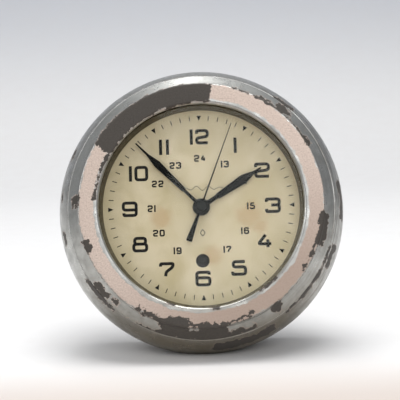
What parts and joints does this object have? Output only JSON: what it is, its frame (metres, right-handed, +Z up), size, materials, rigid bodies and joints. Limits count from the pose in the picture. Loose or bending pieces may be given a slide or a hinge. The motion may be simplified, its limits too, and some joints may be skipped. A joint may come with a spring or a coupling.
{
  "type": "ships deck clock",
  "caption": "Round ship's deck clock in a plated case, with a screwed glazed bezel, a 24 hour dial, centre seconds and a lever movement wound through the dial.",
  "frame": {"origin": "middle of the clock's box, at the surface it stands on", "axes": "+Z up, dial towards -Y and leaning back 16 degrees, +X to the dial's right (3 o'clock)"},
  "size_m": [0.1798, 0.1116, 0.174],
  "materials": {
    "plated_bezel": "copper and silver plating, worn to brown moulding",
    "plated_case": "silver plating worn to brown moulding",
    "rubber": "black gasket",
    "steel": "polished steel",
    "dark_steel": "blackened",
    "brass": "lacquered brass",
    "sight_metal": "satin silvered",
    "glass": "clear",
    "dial_paint": "aged cream paint",
    "hand_black": "matt black",
    "ruby": "synthetic ruby",
    "blued_spring": "blued spring steel"
  },
  "bodies": {
    "case": {"front_shell": "plated_case", "rear_shell": "plated_case", "shell_seal": "rubber", "case_screws": "steel", "back_inserts": "brass", "front_plate": "brass", "back_plate": "brass", "pillars": "brass", "pillar_screws": "steel", "movement_screws": "steel", "dial": "dial_paint", "dial_spacers": "brass", "centre_tube": "brass", "train_jewels": "ruby", "balance_cock": "brass", "cock_screw": "steel", "hairspring_stud": "steel", "click_spring": "steel", "click_screw": "steel", "minute_wheel_post": "steel"},
    "bezel_gasket": {"bezel_gasket": "rubber"},
    "bezel": {"bezel": "plated_bezel", "crystal_seal": "rubber", "crystal": "glass", "sight_ring": "sight_metal"},
    "winding_arbor": {"barrel_arbor": "dark_steel", "ratchet_wheel": "steel"},
    "click": {"click": "steel"},
    "barrel": {"barrel_drum": "brass", "barrel_cover": "brass", "mainspring": "blued_spring"},
    "intermediate": {"intermediate_arbor": "steel", "intermediate_wheel": "brass"},
    "second": {"second_arbor": "steel", "second_wheel": "brass"},
    "third": {"third_arbor": "steel", "third_wheel": "brass"},
    "seconds": {"seconds_arbor": "steel", "fourth_wheel": "brass", "seconds_hand": "hand_black", "seconds_cap": "hand_black"},
    "escape": {"escape_arbor": "steel", "escape_wheel": "brass"},
    "lever": {"pallet_lever": "steel", "pallet_arbor": "steel", "pallet_stones": "ruby"},
    "balance": {"balance_wheel": "brass", "balance_staff": "steel", "roller_table": "steel", "impulse_jewel": "ruby", "hairspring": "blued_spring"},
    "regulator": {"regulator": "steel"},
    "minute": {"cannon_pinion": "steel", "cannon_wheel": "brass", "minute_hand": "hand_black"},
    "setting": {"setting_pinion": "brass"},
    "minute_wheel": {"minute_wheel": "brass"},
    "hour": {"hour_wheel": "brass", "hour_hand": "hand_black"}
  },
  "joints": [
    {"name": "bezel_rise", "type": "slide", "parent": "case", "child": "bezel_gasket", "axis": [0, -0.9613, 0.2756], "range_m": [0, 0.005]},
    {"name": "bezel_turn", "type": "hinge", "parent": "bezel_gasket", "child": "bezel", "pos_m": [0, -0.03504, 0.09554], "axis": [0, -0.9613, 0.2756], "range_deg": [0, 720]},
    {"name": "winding_turn", "type": "hinge", "parent": "case", "child": "winding_arbor", "pos_m": [0, -0.04425, 0.06343], "axis": [0, 0.9613, -0.2756], "range_deg": [0, 2700]},
    {"name": "click_lift", "type": "hinge", "parent": "case", "child": "click", "pos_m": [-0.01212, -0.04232, 0.07016], "axis": [0, -0.9613, 0.2756], "range_deg": [0, 10], "stiffness_Nm_per_rad": 0.002, "deforming": ["click_spring"]},
    {"name": "seconds_turn", "type": "hinge", "parent": "case", "child": "seconds", "pos_m": [0, -0.03504, 0.09554], "axis": [0, 0.9613, -0.2756], "continuous": true},
    {"name": "barrel_turn", "type": "hinge", "parent": "case", "child": "barrel", "pos_m": [0, -0.04425, 0.06343], "axis": [0, 0.9613, -0.2756], "continuous": true},
    {"name": "intermediate_turn", "type": "hinge", "parent": "case", "child": "intermediate", "pos_m": [0.0189, -0.03804, 0.08508], "axis": [0, 0.9613, -0.2756], "continuous": true},
    {"name": "second_turn", "type": "hinge", "parent": "case", "child": "second", "pos_m": [0.01659, -0.03312, 0.10224], "axis": [0, 0.9613, -0.2756], "continuous": true},
    {"name": "third_turn", "type": "hinge", "parent": "case", "child": "third", "pos_m": [0.00063, -0.03083, 0.11024], "axis": [0, 0.9613, -0.2756], "continuous": true},
    {"name": "escape_turn", "type": "hinge", "parent": "case", "child": "escape", "pos_m": [-0.01534, -0.03541, 0.09425], "axis": [0, 0.9613, -0.2756], "continuous": true},
    {"name": "lever_swing", "type": "hinge", "parent": "case", "child": "lever", "pos_m": [-0.02214, -0.03454, 0.0973], "axis": [0, -0.9613, 0.2756], "range_deg": [-4, 4]},
    {"name": "balance_swing", "type": "hinge", "parent": "case", "child": "balance", "pos_m": [-0.03301, -0.03314, 0.10217], "axis": [0, -0.9613, 0.2756], "range_deg": [-270, 270], "stiffness_Nm_per_rad": 0.00005, "deforming": ["hairspring"]},
    {"name": "regulator_turn", "type": "hinge", "parent": "case", "child": "regulator", "pos_m": [-0.03301, -0.03314, 0.10217], "axis": [0, -0.9613, 0.2756], "range_deg": [-20, 20]},
    {"name": "minute_turn", "type": "hinge", "parent": "case", "child": "minute", "pos_m": [0, -0.03504, 0.09554], "axis": [0, 0.9613, -0.2756], "continuous": true},
    {"name": "setting_turn", "type": "hinge", "parent": "case", "child": "setting", "pos_m": [0.01659, -0.03312, 0.10224], "axis": [0, 0.9613, -0.2756], "continuous": true},
    {"name": "minute_wheel_turn", "type": "hinge", "parent": "case", "child": "minute_wheel", "pos_m": [-0.012, -0.03504, 0.09554], "axis": [0, 0.9613, -0.2756], "continuous": true},
    {"name": "hour_turn", "type": "hinge", "parent": "case", "child": "hour", "pos_m": [0, -0.03504, 0.09554], "axis": [0, 0.9613, -0.2756], "continuous": true}
  ],
  "couplings": [
    {"joint": "bezel_rise", "follows": "bezel_turn", "m_per_rad": 0.00039789},
    {"joint": "third_turn", "follows": "seconds_turn", "ratio": -0.13333},
    {"joint": "second_turn", "follows": "seconds_turn", "ratio": 0.016667},
    {"joint": "intermediate_turn", "follows": "seconds_turn", "ratio": -0.0041667},
    {"joint": "barrel_turn", "follows": "seconds_turn", "ratio": 0.00069444},
    {"joint": "escape_turn", "follows": "seconds_turn", "ratio": -10},
    {"joint": "setting_turn", "follows": "minute_turn", "ratio": -1},
    {"joint": "minute_wheel_turn", "follows": "minute_turn", "ratio": -0.33333},
    {"joint": "hour_turn", "follows": "minute_turn", "ratio": 0.083333}
  ]
}
